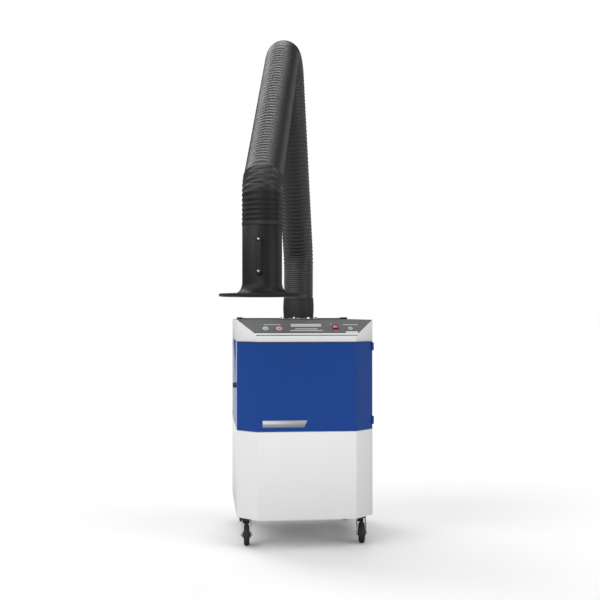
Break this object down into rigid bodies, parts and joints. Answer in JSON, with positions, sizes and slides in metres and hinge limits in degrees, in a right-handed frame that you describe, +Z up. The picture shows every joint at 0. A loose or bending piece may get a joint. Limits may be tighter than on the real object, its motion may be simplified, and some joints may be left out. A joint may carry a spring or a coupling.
{
  "type": "mobile fume extractor",
  "caption": "Steel filter cabinet on swivel casters with a sloped console, a hinged filter door and a self-supporting hose arm that ends in a round hood.",
  "frame": {"origin": "centre of the bounding box, on the floor under the casters", "axes": "+Z up, -Y the way the console and the door face, +X to the right as seen from the front"},
  "size_m": [0.8192, 2.0984, 2.4939],
  "materials": {
    "white_paint": "white powder coat with a fine orange peel",
    "blue_paint": "deep blue satin powder coat",
    "panel_grey": "satin dark grey",
    "dark_paint": "satin near-black paint",
    "black_plastic": "fine-textured black plastic",
    "hose": "black ribbed coated-fabric hose",
    "rubber": "matte black rubber",
    "tyre": "black solid rubber",
    "zinc": "zinc-plated pressed steel",
    "galvanised": "galvanised sheet",
    "brushed": "brushed",
    "filter_media": "pleated filter paper",
    "red_plastic": "translucent red, glossy",
    "green_lens": "green lens",
    "red_lens": "red lens",
    "label": "blank white sticker",
    "bright_steel": "bright screw heads and bezels"
  },
  "bodies": {
    "cabinet": {"base_pan": "white_paint", "lower_casing": "white_paint", "upper_casing": "white_paint", "side_cover_left": "blue_paint", "side_cover_right": "blue_paint", "rear_panel": "white_paint", "outlet_grille": "dark_paint", "top_cover": "white_paint", "control_panel": "panel_grey", "lamp_running": "green_lens", "lamp_fault": "red_lens", "lamp_power": "green_lens", "switch_frame": "black_plastic", "lower_shelf": "galvanised", "upper_shelf": "galvanised", "main_filter": "filter_media", "filter_seal": "rubber", "pre_filter": "galvanised", "fan_housing": "galvanised", "motor": "dark_paint", "motor_stand": "galvanised", "control_box": "panel_grey", "handle_bar": "black_plastic", "handle_bracket_left": "black_plastic", "handle_bracket_right": "black_plastic", "cable_gland": "black_plastic", "hinge_lower": "blue_paint", "hinge_upper": "blue_paint", "caster_plate_front_left": "zinc", "caster_plate_front_right": "zinc", "caster_plate_rear_left": "zinc", "caster_plate_rear_right": "zinc", "arm_flange": "dark_paint"},
    "door": {"filter_door": "blue_paint", "trim_bar": "brushed"},
    "latch": {"door_latch": "dark_paint"},
    "switch": {"switch_rocker": "red_plastic"},
    "fan": {"fan_impeller": "dark_paint"},
    "arm_base": {"swivel_spigot": "galvanised", "base_cuff": "rubber", "base_yoke": "zinc", "hose_base": "hose"},
    "lower_arm": {"lower_arm": "zinc", "hose_lower": "hose", "hose_elbow": "hose"},
    "upper_arm": {"upper_arm": "zinc", "hose_upper": "hose", "hose_wrist": "hose"},
    "wrist": {"wrist_ring": "zinc"},
    "hood": {"hood": "black_plastic", "hood_handle": "black_plastic"},
    "caster_front_left": {"caster_fork_front_left": "zinc"},
    "wheel_front_left": {"caster_wheel_front_left": "tyre"},
    "caster_front_right": {"caster_fork_front_right": "zinc"},
    "wheel_front_right": {"caster_wheel_front_right": "tyre"},
    "caster_rear_left": {"caster_fork_rear_left": "zinc"},
    "wheel_rear_left": {"caster_wheel_rear_left": "tyre"},
    "caster_rear_right": {"caster_fork_rear_right": "zinc"},
    "wheel_rear_right": {"caster_wheel_rear_right": "tyre"}
  },
  "joints": [
    {"name": "arm_swivel", "type": "hinge", "parent": "cabinet", "child": "arm_base", "pos_m": [0.05314, 0.59472, 1.1535], "axis": [0, 0, 1], "range_deg": [-170, 170]},
    {"name": "arm_tilt", "type": "hinge", "parent": "arm_base", "child": "lower_arm", "pos_m": [0.04349, 0.54566, 1.47647], "axis": [0.9812, -0.193, 0], "range_deg": [-25, 35], "deforming": ["hose_base"]},
    {"name": "elbow", "type": "hinge", "parent": "lower_arm", "child": "upper_arm", "pos_m": [-0.07286, -0.04574, 2.44217], "axis": [-0.9812, 0.193, 0], "range_deg": [-30, 50], "deforming": ["hose_elbow"]},
    {"name": "wrist_tilt", "type": "hinge", "parent": "upper_arm", "child": "wrist", "pos_m": [-0.22649, -0.82666, 1.67574], "axis": [0.9812, -0.193, 0], "range_deg": [-45, 45], "deforming": ["hose_wrist"]},
    {"name": "hood_swivel", "type": "hinge", "parent": "wrist", "child": "hood", "pos_m": [-0.23614, -0.87572, 1.5395], "axis": [0, 0, 1], "range_deg": [-170, 170]},
    {"name": "door_hinge", "type": "hinge", "parent": "cabinet", "child": "door", "pos_m": [0.40364, 0.23722, 0.8175], "axis": [0, 0, 1], "range_deg": [0, 110]},
    {"name": "latch_turn", "type": "hinge", "parent": "door", "child": "latch", "pos_m": [-0.29716, 0.38672, 0.8115], "axis": [-1, 0, 0], "range_deg": [0, 90]},
    {"name": "switch_press", "type": "hinge", "parent": "cabinet", "child": "switch", "pos_m": [0.20214, 0.19062, 1.11496], "axis": [1, 0, 0], "range_deg": [0, 16]},
    {"name": "fan_spin", "type": "hinge", "parent": "cabinet", "child": "fan", "pos_m": [0.05314, 0.59472, 0.4265], "axis": [0, 0, 1], "continuous": true},
    {"name": "swivel_front_left", "type": "hinge", "parent": "cabinet", "child": "caster_front_left", "pos_m": [-0.24486, 0.30472, 0.1315], "axis": [0, 0, 1], "continuous": true},
    {"name": "roll_front_left", "type": "hinge", "parent": "caster_front_left", "child": "wheel_front_left", "pos_m": [-0.24552, 0.26672, 0.054], "axis": [0.9998, -0.0175, 0], "continuous": true},
    {"name": "swivel_front_right", "type": "hinge", "parent": "cabinet", "child": "caster_front_right", "pos_m": [0.35114, 0.30472, 0.1315], "axis": [0, 0, 1], "continuous": true},
    {"name": "roll_front_right", "type": "hinge", "parent": "caster_front_right", "child": "wheel_front_right", "pos_m": [0.34915, 0.26677, 0.054], "axis": [0.9986, -0.0523, 0], "continuous": true},
    {"name": "swivel_rear_left", "type": "hinge", "parent": "cabinet", "child": "caster_rear_left", "pos_m": [-0.24486, 0.90172, 0.1315], "axis": [0, 0, 1], "continuous": true},
    {"name": "roll_rear_left", "type": "hinge", "parent": "caster_rear_left", "child": "wheel_rear_left", "pos_m": [-0.24486, 0.86372, 0.054], "axis": [1, 0, 0], "continuous": true},
    {"name": "swivel_rear_right", "type": "hinge", "parent": "cabinet", "child": "caster_rear_right", "pos_m": [0.35114, 0.90172, 0.1315], "axis": [0, 0, 1], "continuous": true},
    {"name": "roll_rear_right", "type": "hinge", "parent": "caster_rear_right", "child": "wheel_rear_right", "pos_m": [0.34717, 0.86393, 0.054], "axis": [0.9945, -0.1045, 0], "continuous": true}
  ]
}
